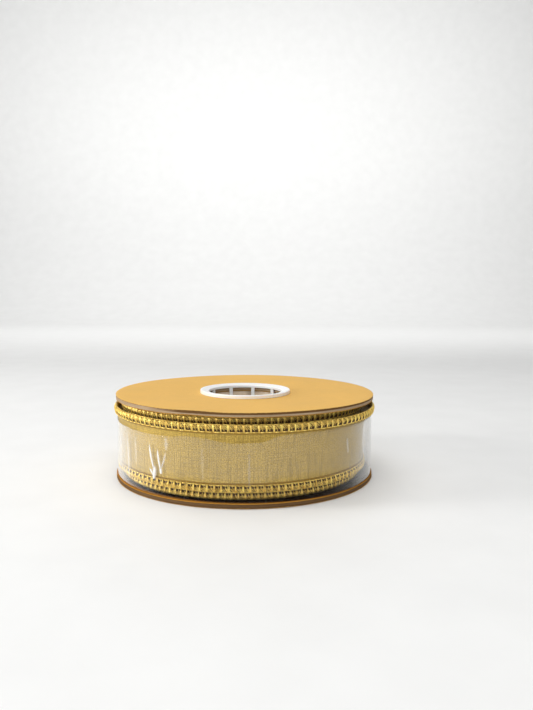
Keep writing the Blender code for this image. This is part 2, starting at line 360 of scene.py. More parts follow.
def kraft_look(name, tone, edge_tone, gloss=0.22, painted_shade_tone=None):
    """Uncoated kraft paper: faintly cloudy, with short fibres, a felt-side texture and a cut edge; given a
    shade tone, painted shade darkens the face inside the rim.
    """
    look = Look(name, Specular_IOR_Level=gloss)
    place = look.place()
    cloud = look.noise(place, 38.0, 3.0, 0.5)
    fibre = look.noise(look.place((260.0, 2600.0, 900.0)), 1.0, 3.0, 0.7)
    cross_fibre = look.noise(look.place((2200.0, 320.0, 900.0)), 1.0, 3.0, 0.7)
    speck = look.noise(place, 1900.0, 2.0, 0.8)
    light = tuple(min(1.0, channel * 1.03) for channel in tone)
    dark = tuple(channel * 0.96 for channel in tone)
    colour = look.ramp(cloud, (0.3, dark), (0.7, light))
    pale = tuple(min(1.0, channel * 1.35 + 0.01) for channel in tone)
    deep = tuple(channel * 0.55 for channel in tone)
    colour = look.mix(look.ramp(fibre, (0.42, 0.0), (0.75, 0.30)), colour, pale)
    colour = look.mix(look.ramp(cross_fibre, (0.55, 0.0), (0.8, 0.22)), colour, deep)
    colour = look.mix(look.ramp(speck, (0.62, 0.0), (0.8, 0.30)), colour, deep)
    normal = look.node("ShaderNodeNewGeometry").outputs["True Normal"]
    steep = look.maths("ABSOLUTE", look.part(normal, "Z"))
    edge = look.mix(look.ramp(speck, (0.5, 0.0), (0.8, 0.35)), edge_tone, colour)
    if painted_shade_tone:
        # Painted shade: inside the rim the face turns nearly black, where the ribbon roll keeps light out.
        inputs = {0: look.place((1.0, 1.0, 0.0)), 1: PAINTED_SHADE_SHIFT}
        flat = look.node("ShaderNodeVectorMath", inputs, operation="SUBTRACT").outputs[0]
        reach = look.node("ShaderNodeVectorMath", {0: flat}, operation="LENGTH").outputs["Value"]
        colour = look.mix(look.between(reach, *PAINTED_SHADE_RIM), painted_shade_tone, colour)
    colour = look.mix(look.ramp(steep, (0.55, 0.0), (0.8, 1.0)), edge, colour)
    rough = look.spread(cloud, 0.66, 0.78)
    height = look.maths("ADD", fibre, cross_fibre)
    normal = look.bump(height, 0.00005, 0.3)
    return look.shade(Base_Color=colour, Roughness=rough, Normal=normal)


SHADE_BAND_ASIDE = (-0.044, -0.030)  # the dark band of a board's edge grows over this stretch of X; its fading to the left is painted window light


def board_look(name, tones, dark_band, band_bottom, band_top, band_start):
    """Raw cut board edge: thin plies with fibres and grit, browner over a band of its height; the band is a
    darker ply and painted shade, and it fades out towards the left as painted window light.
    """
    look = Look(name, Specular_IOR_Level=0.25, Roughness=0.9)
    plies = look.noise(look.place((60.0, 60.0, 5200.0)), 1.0, 3.0, 0.7)
    fibre = look.noise(look.place((900.0, 900.0, 2400.0)), 1.0, 4.0, 0.7)
    cloud = look.noise(look.place(), 70.0, 3.0, 0.6)
    colour = look.ramp(plies, (0.25, tones[0]), (0.5, tones[1]), (0.8, tones[2]))
    colour = look.mix(look.ramp(cloud, (0.4, 0.0), (0.75, 0.35)), colour, tones[0])
    colour = look.mix(look.ramp(fibre, (0.6, 0.0), (0.8, 0.4)), colour, tones[2])
    height = look.maths("ADD", look.part(look.place(), "Z"), look.spread(fibre, -0.00015, 0.00015))
    # Painted shade and light: the dark band fades out towards the left, where the window lights the edge.
    aside = look.between(look.part(look.place(), "X"), *SHADE_BAND_ASIDE, band_start)
    band = look.maths("MULTIPLY", look.between(height, band_bottom, band_top), aside)
    colour = look.mix(band, colour, dark_band)
    normal = look.bump(look.maths("ADD", plies, fibre), 0.00012, 0.7)
    return look.shade(Base_Color=colour, Normal=normal)


def core_board_look():
    """The core tube's wound paper: a helical seam between strips, grey-brown."""
    look = Look("core_board", Specular_IOR_Level=0.25, Roughness=0.85)
    inputs = {"Vector": look.along((1.0, 1.6, 1.0)), "Scale": 9.0}
    seam = look.node("ShaderNodeTexWave", inputs).outputs["Fac"]
    cloud = look.noise(look.place(), 160.0, 4.0, 0.65)
    colour = look.ramp(cloud, (0.3, (0.60, 0.47, 0.34)), (0.7, (0.78, 0.64, 0.49)))
    colour = look.mix(look.ramp(seam, (0.0, 0.4), (0.06, 0.0)), colour, (0.25, 0.17, 0.10))
    return look.shade(Base_Color=colour, Normal=look.bump(cloud, 0.0001, 0.5))


def hub_plastic_look():
    """Smooth white polystyrene with a soft gloss and faint handling marks."""
    look = Look("hub_plastic", IOR=1.5, Subsurface_Weight=0.12, Subsurface_Scale=0.002)
    haze = look.noise(look.place(), 120.0, 3.0, 0.5)
    mark = look.noise(look.place((300.0, 1800.0, 700.0)), 1.0, 2.0, 0.6)
    colour = look.ramp(haze, (0.3, (0.85, 0.85, 0.84)), (0.7, (0.88, 0.88, 0.87)))
    rough = look.maths("ADD", look.spread(haze, 0.28, 0.4), look.maths("MULTIPLY", mark, 0.08))
    normal = look.bump(mark, 0.00002, 0.25)
    return look.shade(Base_Color=colour, Roughness=rough, Normal=normal)


def ribbon_look(name, tone, contrast=1.0):
    """Gold taffeta: a fine plain weave with slubs in both directions and a soft sheen."""
    look = Look(name, Metallic=0.2, Specular_IOR_Level=0.4, Sheen_Weight=0.12, Sheen_Roughness=0.4)
    waves = []
    for direction, scale in (("X", 300.0), ("Y", 330.0)):
        inputs = {"Vector": look.along(), "Scale": scale, "Distortion": 1.2, "Detail": 2.0}
        waves.append(look.node("ShaderNodeTexWave", inputs, bands_direction=direction).outputs["Fac"])
    yarn = look.noise(look.along((1500.0, 1900.0, 1.0)), 1.0, 3.0, 0.75)
    along_slub = look.noise(look.along((70.0, 2200.0, 1.0)), 1.0, 3.0, 0.6)
    across_slub = look.noise(look.along((2100.0, 55.0, 1.0)), 1.0, 3.0, 0.6)
    cloud = look.noise(look.along((60.0, 60.0, 1.0)), 1.0, 3.0, 0.5)
    light = tuple(min(1.0, channel * (1.0 + 0.32 * contrast)) for channel in tone)
    dark = tuple(channel * (1.0 - 0.42 * contrast) for channel in tone)
    colour = look.ramp(yarn, (0.30, dark), (0.5, tone), (0.70, light))
    colour = look.mix(look.ramp(along_slub, (0.36, 0.35), (0.52, 0.0)), colour, dark)
    colour = look.mix(look.ramp(across_slub, (0.36, 0.5), (0.52, 0.0)), colour, dark)
    colour = look.mix(look.ramp(across_slub, (0.60, 0.0), (0.76, 0.4)), colour, light)
    colour = look.mix(look.ramp(cloud, (0.35, 0.12), (0.7, 0.0)), colour, dark)
    height = look.maths("ADD", waves[0], waves[1])
    normal = look.bump(height, 0.00006, 0.35)
    normal = look.bump(look.maths("ADD", yarn, across_slub), 0.00014, 0.5, normal)
    rough = look.spread(cloud, 0.42, 0.55)
    return look.shade(Base_Color=colour, Roughness=rough, Normal=normal)


THREAD_SHADE_FROM, THREAD_SHADE_FULL = 0.0040, 0.0029  # heights where the threads' foot turns dark: painted shade under the overhang


def thread_look(name, tone, metallic=0.55):
    """Shiny gold overlock thread: twisted plies that catch the light one by one, darkened near the bottom
    by painted shade.
    """
    look = Look(name, Metallic=metallic, Specular_IOR_Level=0.6)
    twist = look.node(
        "ShaderNodeTexWave",
        {"Vector": look.along((2600.0, 1.0, 1.0)), "Scale": 0.3183, "Distortion": 0.4},
        wave_profile="SIN",
        bands_direction="DIAGONAL",
    ).outputs["Fac"]
    tint = look.noise(look.place(), 420.0, 2.0, 0.6)
    light = tuple(min(1.0, channel * 1.12) for channel in tone)
    dark = tuple(channel * shade for channel, shade in zip(tone, (0.70, 0.62, 0.45)))
    colour = look.ramp(tint, (0.32, dark), (0.5, tone), (0.68, light))
    colour = look.mix(look.ramp(twist, (0.0, 0.5), (0.45, 0.0)), colour, dark)
    # Painted shade: the threads turn nearly black near the bottom, where little light reaches.
    painted_foot_shade = look.between(look.part(look.place(), "Z"), THREAD_SHADE_FROM, THREAD_SHADE_FULL, high=0.9)
    colour = look.mix(painted_foot_shade, colour, tuple(channel * 0.1 for channel in tone))
    rough = look.spread(tint, 0.26, 0.38)
    return look.shade(Base_Color=colour, Roughness=rough, Normal=look.bump(twist, 0.00006, 0.4))


def wire_look():
    look = Look("edge_wire", Metallic=1.0)
    drawn = look.noise(look.place(), 800.0, 2.0, 0.6)
    colour = look.ramp(drawn, (0.3, (0.42, 0.37, 0.30)), (0.7, (0.62, 0.57, 0.50)))
    return look.shade(Base_Color=colour, Roughness=look.spread(drawn, 0.3, 0.45))


def tape_look():
    look = Look("tape", Specular_IOR_Level=0.5)
    ripple = look.noise(look.place((1.0, 1.0, 0.2)), 300.0, 2.0, 0.5)
    colour = look.ramp(ripple, (0.3, (0.62, 0.55, 0.38)), (0.7, (0.76, 0.70, 0.54)))
    return look.shade(Base_Color=colour, Roughness=look.spread(ripple, 0.3, 0.5))


FILM_RUBBED = (0.008, 0.012)  # the haze sets in between these heights above the film's lower edge


def film_look():
    """Clear thin film: it lets the ribbon show and mirrors the room more at a slant; its crease ridges are
    whitened as painted highlights.
    """
    look = Look("clear_film", Base_Color=(0.93, 0.93, 0.91, 1.0), Roughness=0.09, Specular_IOR_Level=0.5)
    scuff = look.noise(look.along((50.0, 420.0, 1.0)), 1.0, 3.0, 0.6)
    ripple = look.noise(look.along((160.0, 26.0, 1.0)), 1.0, 2.0, 0.5)
    slant = look.node("ShaderNodeLayerWeight", {"Blend": 0.5}).outputs["Facing"]
    mirror = look.maths("ADD", look.maths("MULTIPLY", look.maths("POWER", slant, 5.0), 0.9), 0.004)
    rubbed = look.between(look.part(look.along(), "Y"), *FILM_RUBBED)
    haze = look.maths("MULTIPLY", look.spread(scuff, 0.030, 0.060), rubbed)
    haze = look.maths("ADD", haze, look.maths("MULTIPLY", look.maths("POWER", slant, 4.0), 0.75))
    # Painted highlight: the crease ridges turn white where the window glints off them.
    crease_highlight = look.node("ShaderNodeAttribute", attribute_name="crease").outputs["Fac"]
    haze = look.maths("ADD", haze, look.maths("MULTIPLY", crease_highlight, look.spread(scuff, 0.60, 0.95)))
    look.shade(Normal=look.bump(ripple, 0.0004, 0.25))
    gloss = look.node("ShaderNodeBsdfGlossy", {"Color": (1.0, 1.0, 1.0, 1.0), "Roughness": 0.07})
    look.tree.links.new(look.shader.inputs["Normal"].links[0].from_socket, gloss.inputs["Normal"])
    clear = look.node("ShaderNodeBsdfTransparent")
    veiled = look.node("ShaderNodeMixShader", {0: haze, 1: clear.outputs[0], 2: look.shader.outputs[0]})
    glossed = look.node("ShaderNodeMixShader", {0: mirror, 1: veiled.outputs[0], 2: gloss.outputs[0]})
    look.tree.links.new(glossed.outputs[0], look.output.inputs["Surface"])
    return look.material


def floor_look():
    look = Look("floor", Roughness=0.55, Specular_IOR_Level=0.3)
    grain = look.noise(look.place(), 30.0, 4.0, 0.5)
    colour = look.ramp(grain, (0.3, (0.86, 0.86, 0.85)), (0.7, (0.89, 0.89, 0.88)))
    return look.shade(Base_Color=colour)


# ---- flanges


def flange_profile(inner, outer, bottom, top, round_bottom, round_top, rows):
    """An anticlockwise section of a disc: its outer edge has rows of points and soft corners."""
    points = [(inner, bottom), (inner + 0.3 * MM, bottom)]
    points += [(radius, bottom) for radius in np.linspace(inner + 4 * MM, outer - 3 * MM, 8)]
    points += [(outer - 1.2 * MM, bottom), (outer - round_bottom, bottom)]
    points += [(outer - 0.3 * round_bottom, bottom + 0.3 * round_bottom)]
    points += [(outer, height) for height in np.linspace(bottom + round_bottom, top - round_top, rows)]
    points += [(outer - 0.3 * round_top, top - 0.3 * round_top)]
    points += [(outer - round_top, top), (outer - 1.2 * MM, top)]
    points += [(radius, top) for radius in np.linspace(outer - 3 * MM, inner + 4 * MM, 8)]
    points += [(inner + 0.3 * MM, top), (inner, top)]
    return points


DENT_ANGLE = math.radians(-110.0)  # where the upper flange's rim is knocked and swollen
DENT_WIDTH = math.radians(9.0)


def rim_swell(radius, angle):
    """How far the upper flange's rim is raised where it has been knocked."""
    reach = smooth_step((radius - (FLANGE_RADIUS - 7.0 * MM)) / (7.0 * MM))
    bump = np.exp(-(((angle + math.pi) % TURN - math.pi - DENT_ANGLE) / DENT_WIDTH) ** 2)
    return 0.42 * MM * reach * bump


def board_shape(seed, sign):
    """Roughens a board's cut edge: fine ragged plies and a slight waviness of the disc."""
    chance = np.random.default_rng(seed)

    def shape(radius, height, angle):
        edge = smooth_step((radius - (FLANGE_RADIUS - 0.6 * MM)) / (0.5 * MM))
        ragged = chance.normal(0.0, 0.035 * MM, radius.shape)
        ply = wave_sum(angle, seed + 1, (3, 7, 19, 41), height * 40.0) * 0.05 * MM
        radius = radius + edge * (ragged + ply)
        wave = wave_sum(angle, seed + 2, (2, 3, 5)) * 0.10 * MM * (radius / FLANGE_RADIUS) ** 2
        height = height + wave
        height = height - sign * dish(radius)
        if sign > 0:
            height = height + rim_swell(radius, angle)
        return radius, height

    return shape


def liner_shape(seed, board_seed, sign, outer_face):
    """A paper liner follows its board, and its cut edge is slightly ragged and turned over."""
    chance = np.random.default_rng(seed)

    def shape(radius, height, angle):
        edge = smooth_step((radius - (FLANGE_RADIUS - 0.9 * MM)) / (0.8 * MM))
        ragged = chance.normal(0.0, 0.02 * MM, radius.shape)
        ragged = ragged + 0.05 * MM * wave_sum(angle, seed + 1, (11, 23, 57, 91))
        wave = wave_sum(angle, board_seed + 2, (2, 3, 5)) * 0.10 * MM * (radius / FLANGE_RADIUS) ** 2
        height = height + wave - sign * dish(radius)
        if sign > 0:
            height = height + rim_swell(radius, angle)
        if outer_face:
            height = height - sign * 0.07 * MM * edge ** 2
            radius = radius + 0.10 * MM * edge
        return radius + edge * ragged, height

    return shape


def rim_heights(node, sign):
    """The underside and upper side of a dished CAD disc at its rim."""
    low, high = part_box(node)
    return (low.z + DISH, high.z) if sign > 0 else (low.z, high.z - DISH)


def build_disc(node, body, sign, look, slot, shape, rows, rounding, steps=720):
    """A detailed disc in place of a CAD disc of the same size."""
    bottom, top = rim_heights(node, sign)
    profile = flange_profile(hole_radius(node), FLANGE_RADIUS, bottom, top, rounding, rounding, rows)
    return finish_piece(lathe(node + "_paper", profile, steps, shape), body, look, slot, node)


def hole_radius(node):
    return min(vertex.co.xy.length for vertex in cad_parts[node].data.vertices)


def finish_piece(piece, body, look, slot, *nodes):
    piece.data.materials.append(look)
    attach(piece, body)
    if nodes:
        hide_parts(*nodes)
    return piece


def build_flanges(looks):
    for side, sign, seed in (("top_flange", 1, 11), ("bottom_flange", -1, 31)):
        board, shape = f"{side}_board", board_shape(seed, sign)
        if sign > 0:
            build_disc(board, side, sign, looks["board"], "greyboard", shape, 7, 0.12 * MM)
        else:
            build_lower_board(board, side, looks["lower_board"], shape)
        for face in ("outer", "inner"):
            node = f"{side}_{face}_liner"
            shape = liner_shape(seed + 5, seed, sign, face == "outer")
            look = looks["kraft"] if face == "outer" else looks["kraft_inner"]
            build_disc(node, side, sign, look, "kraft_paper", shape, 3, 0.05 * MM)


def build_lower_board(node, side, look, shape):
    """The lower board, with the seat that the lower hub rim is pressed into."""
    bottom, top = rim_heights(node, -1)
    seat, hole = hole_radius("bottom_flange_outer_liner"), hole_radius(node)
    seat_top = ring_heights(node, seat - 1.0 * MM)[0] - DISH
    profile = flange_profile(seat, FLANGE_RADIUS, bottom, top, 0.12 * MM, 0.12 * MM, 7)
    profile = profile[:-1] + [(hole, top), (hole, seat_top), (seat, seat_top)]
    finish_piece(lathe(node + "_paper", profile, 720, shape), side, look, "greyboard", node)


# ---- hub


def build_hub(looks):
    """The CAD rings have the right shape and only get a look; the core tube is made anew."""
    for node in ("upper_hub_ring", "lower_hub_ring"):
        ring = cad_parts[node]
        ring.data.materials.clear()
        ring.data.materials.append(looks["hub"])
    hole = hole_radius("core_tube")
    profile = [(hole, CORE_BOTTOM)]
    profile += [(CORE_RADIUS, CORE_BOTTOM), (CORE_RADIUS, CORE_TOP), (hole, CORE_TOP)]
    for height in np.linspace(CORE_TOP, CORE_BOTTOM, 24)[1:-1]:
        profile.append((hole, height))
    finish_piece(
        lathe("core_tube_board", profile, 240), "hub_and_ribbon", looks["core"], "greyboard", "core_tube"
    )


# ---- the ribbon's path


def wound_radius(turned):
    """Middle radius of the wound strip after an angle turned from its first end."""
    first = CORE_RADIUS + 1.2 * MM
    last = WOUND_RADIUS - 1.35 * MM
    return first + (last - first) * turned / SLACK_START


def strip_top(turned):
    """Height of the strip's upper edge: turns lie high and low by turns, the slack one between."""
    drawn = dish(wound_radius(np.minimum(turned, SLACK_START)))
    high = 40.5 * MM - drawn
    low = 33.75 * MM + drawn
    slack = 37.85 * MM
    swing = np.tanh(4.0 * np.sin((turned - SLACK_START) / 2.0 + math.pi))
    chance = np.random.default_rng(5)
    reach = chance.uniform(0.55, 1.0, WOUND_TURNS + 3)
    reach[-6:] = 1.0
    size = np.interp(turned / TURN, np.arange(len(reach)), reach)
    wound = 0.5 * (high + low) + 0.5 * (high - low) * swing * size
    return wound + (slack - wound) * smooth_step((turned - SLACK_START) / math.radians(55.0))


# The slack turn's section at the left and at the right: height and radius in millimetres.
SLACK_LEFT = [
    (6.5, 66.45), (12.0, 66.5), (25.0, 66.5), (31.0, 66.55), (33.2, 66.9), (34.6, 67.85), (38.0, 67.9),
]
SLACK_RIGHT = [
    (6.5, 63.5), (12.0, 63.2), (25.0, 63.2), (31.0, 64.2), (33.2, 66.2), (34.6, 67.75), (38.0, 67.9),
]


def slack_radius(azimuth, height):
    """The slack turn leans in below its upper edge, more on the right than on the left."""
    height = height / MM
    left = curve_through(height, SLACK_LEFT)
    right = curve_through(height, SLACK_RIGHT)
    share = 0.5 - 0.5 * np.cos(azimuth)
    front = 0.9 * np.clip(-np.sin(azimuth), 0.0, 1.0) ** 2 * smooth_step((34.0 - height) / 3.0)
    ripple = 0.10 * wave_sum(azimuth, 3, (5, 8, 13, 21), height * MM)
    ripple = front + ripple * smooth_step((33.5 - height) / 6.0)
    return (left * share + right * (1.0 - share) + ripple) * MM


def strip_point(turned, across, out=0.0):
    """A point of the strip: angle turned, distance down from its upper edge, and offset outwards."""
    turned, across, out = np.broadcast_arrays(np.asarray(turned, float), across, out)
    azimuth = BACK + turned
    height = strip_top(turned) - across
    middle = np.clip(across / RIBBON_WIDTH, 0.0, 1.0)
    sag = 0.55 * MM * np.clip(np.sin(math.pi * middle), 0.0, 1.0) ** 0.6 * smooth_step(turned / (3 * TURN))
    wound = wound_radius(np.minimum(turned, SLACK_START)) - sag
    wound = wound + 0.6 * MM * smooth_step((turned - SLACK_START) / math.radians(20.0))
    inside = np.clip(height, strip_top(turned) - RIBBON_WIDTH, strip_top(turned))
    slack = slack_radius(azimuth, inside)
    loose = smooth_step((turned - SLACK_START) / math.radians(60.0))
    shift = (np.minimum(turned, SLACK_START) / SLACK_START) ** 2 * (1.0 - loose)
    radius = wound + (slack - wound) * loose + out
    x = ROLL_SHIFT[0] * shift + radius * np.cos(azimuth)
    y = ROLL_SHIFT[1] * shift + radius * np.sin(azimuth)
    return np.stack([x, y, height], axis=-1)


def outward(turned):
    azimuth = BACK + np.asarray(turned, float)
    return np.stack([np.cos(azimuth), np.sin(azimuth), np.zeros_like(azimuth)], axis=-1)


def forward(turned):
    azimuth = BACK + np.asarray(turned, float)
    return np.stack([-np.sin(azimuth), np.cos(azimuth), np.zeros_like(azimuth)], axis=-1)


def strip_length(first, last):
    turned = np.linspace(first, last, 20000)
    points = strip_point(turned, RIBBON_WIDTH / 2)
    return float(np.linalg.norm(np.diff(points, axis=0), axis=1).sum())


def build_web(name, first, last, steps, columns):
    """The woven strip between two angles, as one thin sheet."""
    turned = np.linspace(first, last, steps)
    across = np.linspace(WEB_MARGIN, RIBBON_WIDTH - WEB_MARGIN, columns)
    grid = strip_point(turned[:, None], across[None, ::-1])
    along = np.concatenate([[0.0], np.cumsum(np.linalg.norm(np.diff(grid[:, 0], axis=0), axis=1))])
    return solidify(grid_object(name, grid, along, RIBBON_WIDTH - across[::-1]), WEB_THICKNESS)


# ---- overlocked edges


def edge_point(turned, up, out, top):
    """A point of an edging: up runs from the needle line to the edge, out from the strip."""
    across = EDGING_HEIGHT - up if top else RIBBON_WIDTH - EDGING_HEIGHT + up
    return strip_point(turned, across, out)


def stitch_angles(first, last):
    radius = wound_radius(SLACK_START)
    count = int((last - first) * radius / STITCH_PITCH)
    return np.linspace(first, last, count, endpoint=False)


def build_edging(name, first, last, top, seed):
    """Overlock stitches: needle dashes, steep pillars and slanting strands round a rolled hem."""
    chance = np.random.default_rng(seed)
    angles = stitch_angles(first, last)
    pitch = angles[1] - angles[0]
    angles = angles + chance.normal(0.0, 0.018 * pitch, len(angles))
    count = len(angles)
    parts = []

    def strand(start, sideways, up, out, radii, flat=1.0, reference="forward", jitter=0.02):
        """One tube for each stitch; sideways is in pitches, up and out in millimetres."""
        place = start + np.asarray(sideways)[None] + chance.normal(0.0, jitter, (count, 1))
        turned = angles[:, None] + pitch * (place if top else 1.0 - place)
        lift = chance.normal(0.0, 0.025, (count, 1))
        points = edge_point(turned, np.asarray(up)[None] * MM, (np.asarray(out)[None] + lift) * MM, top)
        across = forward(turned) if reference == "forward" else outward(turned)
        parts.append(tube_arrays(points, np.asarray(radii) * MM, across, flat))

    high = EDGING_HEIGHT / MM
    # Needle thread: one dash over each pitch, sinking into the cloth at both ends.
    dash = np.linspace(0.0, 1.0, 9)
    strand(
        0.14, 0.72 * dash, 0.0 * dash, 0.05 + 0.58 * np.sin(math.pi * dash) ** 0.5,
        [0.12, 0.22, 0.27, 0.29, 0.29, 0.29, 0.27, 0.22, 0.12], flat=0.85, reference="outward", jitter=0.01,
    )
    # Upper looper: a pair of steep pillars between two dashes, over the edge and down the back.
    climb = np.array([-0.3, 0.1, 0.9, 1.7, 2.5, 3.0, high, high + 0.06, high - 0.1, high - 0.7, 1.6, 0.4])
    climb_out = np.array([0.0, 0.40, 0.66, 0.72, 0.68, 0.55, 0.3, 0.0, -0.32, -0.5, -0.6, -0.3])
    lean = np.linspace(0.0, -0.10, len(climb))
    thick = [0.10, 0.17, 0.22, 0.26] + [0.27] * 6 + [0.2, 0.1]
    strand(-0.01, lean, climb, climb_out, thick)
    strand(0.13, lean * 1.3, climb, climb_out, thick)
    # Slanting strands that fill the space between the pillars and stop short of the dash.
    slope = np.array([high + 0.02, high - 0.25, 2.6, 2.15, 1.75, 1.45, 1.3])
    slope_out = np.array([0.05, 0.42, 0.54, 0.56, 0.52, 0.34, 0.10])
    slant = np.array([0.0, 0.06, 0.20, 0.32, 0.44, 0.54, 0.58])
    for number, thickness in enumerate((0.16, 0.14, 0.16, 0.14)):
        strand(0.04 + 0.235 * number, slant, slope, slope_out, [0.1] + [thickness] * 5 + [0.08])
    # One of them reaches the dash.
    reaching = slope - np.linspace(0.0, 1.0, 7) ** 2
    strand(0.02, slant * 0.9, reaching, slope_out * 0.85, [0.1] + [0.12] * 5 + [0.08])
    # Lower looper: a purl of short loops along the very edge.
    purl = np.linspace(0.0, 1.0, 7)
    brim = high + 0.08 if top else high - 0.10
    strand(
        0.05, 1.05 * purl, brim + 0.12 * np.sin(math.pi * purl), 0.22 * np.cos(math.pi * purl),
        [0.12, 0.19, 0.2, 0.2, 0.2, 0.19, 0.12], reference="outward",
    )
    return joined(name, parts)


def build_hem(name, first, last, top, reach):
    """The rolled hem under the stitches; reach carries it past the ribbon's edge."""
    steps = max(64, int((last - first) / TURN * 420))
    turned = np.linspace(first, last, steps)
    turn = np.linspace(0.0, TURN, 14, endpoint=False)
    half = 0.5 * (EDGING_HEIGHT + reach)
    up = half + half * 0.98 * np.sign(np.sin(turn)) * np.abs(np.sin(turn)) ** 0.7
    out = HEM_HALF_THICKNESS * np.sign(np.cos(turn)) * np.abs(np.cos(turn)) ** 0.7
    if not top:
        up, out = up[::-1], out[::-1]
    roll = edge_point(turned[:, None], up[None], out[None], top)
    verts = roll.reshape(-1, 3)
    quads, corner_rows, corner_columns = grid_quads(steps, len(turn), False, True)
    ring = np.arange(len(turn))
    caps = [
        [[ring[0], ring[k], ring[k + 1], ring[k + 2]] for k in range(1, len(turn) - 2, 2)],
        [[ring[0], ring[k + 2], ring[k + 1], ring[k]] for k in range(1, len(turn) - 2, 2)],
    ]
    ends = np.concatenate([np.array(caps[0]), np.array(caps[1]) + (steps - 1) * len(turn)])
    run = np.concatenate([[0.0], np.cumsum(np.linalg.norm(np.diff(roll[:, 0], axis=0), axis=1))])
    uvs = np.stack([run[corner_rows], corner_columns * 0.0006], axis=-1)
    uvs = np.concatenate([uvs, np.zeros((len(ends), 4, 2))])
    return mesh_object(name, verts, np.concatenate([quads, ends]), uvs)


SELVAGE_UP, SELVAGE_OUT, SELVAGE_RADIUS = -0.62 * MM, 0.15 * MM, 0.42 * MM
WIRE_INSIDE, WIRE_RADIUS = 0.6 * MM, 0.17 * MM


def build_selvage(name, first, last, top):
    """The cord of thicker warp yarns beside the needle line."""
    steps = max(64, int((last - first) / TURN * 420))
    turned = np.linspace(first, last, steps)
    up, out = np.full((1, steps), SELVAGE_UP), np.full((1, steps), SELVAGE_OUT)
    cord = edge_point(turned[None], up, out, top)
    tube = tube_arrays(cord, np.full(steps, SELVAGE_RADIUS), outward(turned)[None], 0.5)
    return mesh_object(name, *tube)


def build_plain_edges(name, last, top):
    """The edges of the turns that lie hidden inside the roll: a plain rounded cord."""
    steps = WOUND_STEPS
    turned = np.linspace(STRIP_START, last, steps)
    half = EDGING_HEIGHT / 2
    middle = edge_point(turned[None], np.full((1, steps), half), np.zeros((1, steps)), top)
    return mesh_object(name, *tube_arrays(middle, np.full(steps, half), outward(turned)[None], 0.3))


def build_wire(name, top):
    """The soft wire inside an edge of the slack turn."""
    steps = 400
    turned = np.linspace(SLACK_START, SLACK_END - math.radians(1.0), steps)
    up = np.full((1, steps), EDGING_HEIGHT - WIRE_INSIDE)
    middle = edge_point(turned[None], up, np.zeros((1, steps)), top)
    return mesh_object(name, *tube_arrays(middle, np.full(steps, WIRE_RADIUS), outward(turned)[None]))


def build_ribbon(looks):
    """The strip's web and, along each edge, its stitches, hem, cord of warp yarns and wire."""
    hub = "hub_and_ribbon"
    wound = build_web("ribbon_wound", STRIP_START, SLACK_START, WOUND_STEPS, 9)
    slack = build_web("ribbon_slack_turn", SLACK_START, SLACK_END, 520, 48)
    finish_piece(wound, hub, looks["ribbon"], "ribbon_fabric", "wound_ribbon")
    finish_piece(slack, hub, looks["ribbon"], "ribbon_fabric", "outer_turn_web")
    width = RIBBON_WIDTH - 2 * WEB_MARGIN
    wound_flat = (width, strip_length(STRIP_START, SLACK_START))
    slack_flat = (width, strip_length(SLACK_START, SLACK_END))

    for side, first, seed in (("top", FIRST_TOP_STITCH, 21), ("bottom", FIRST_BOTTOM_STITCH, 22)):
        top = side == "top"
        stretches = (
            ("wound", first, SLACK_START, seed, 0.0 if top else LOW_HEM_REACH),
            ("slack", SLACK_START, SLACK_END, seed + 10, 0.0),
        )
        nodes = {"wound": f"wound_{side}_edging", "slack": f"outer_turn_{side}_edging"}
        for part, start, end, draw, _ in stretches:
            stitches = build_edging(f"{part}_{side}_stitches", start, end, top, draw)
            finish_piece(stitches, hub, looks["thread"], "edging_thread", nodes[part])
        for part, start, end, _, reach in stretches:
            hem = build_hem(f"{part}_{side}_hem", start, end, top, reach)
            # The hem's near-black look is painted shade between the stitches.
            finish_piece(hem, hub, looks["hem"], "ribbon_fabric")
        for part, start, end, _, _ in stretches:
            selvage = build_selvage(f"{part}_{side}_selvage", start, end, top)
            finish_piece(selvage, hub, looks["selvage"], "ribbon_fabric")
        inner = build_plain_edges(f"wound_{side}_inner_edges", first, top)
        finish_piece(inner, hub, looks["thread_dull"], "edging_thread")
        wire = build_wire(f"{side}_wire", top)
        finish_piece(wire, hub, looks["wire"], "edge_wire", f"{side}_edge_wire")


# ---- film


FILM_TOP_EDGE = [  # azimuth in degrees, height in millimetres
    (-180, 30.9), (-150, 30.7), (-124, 30.6), (-113, 31.8), (-105, 31.3), (-98, 29.9), (-90, 29.6),
    (-83, 30.2), (-77, 32.6), (-66, 33.2), (-20, 33.2), (40, 32.4), (110, 31.4), (180, 30.9),
]

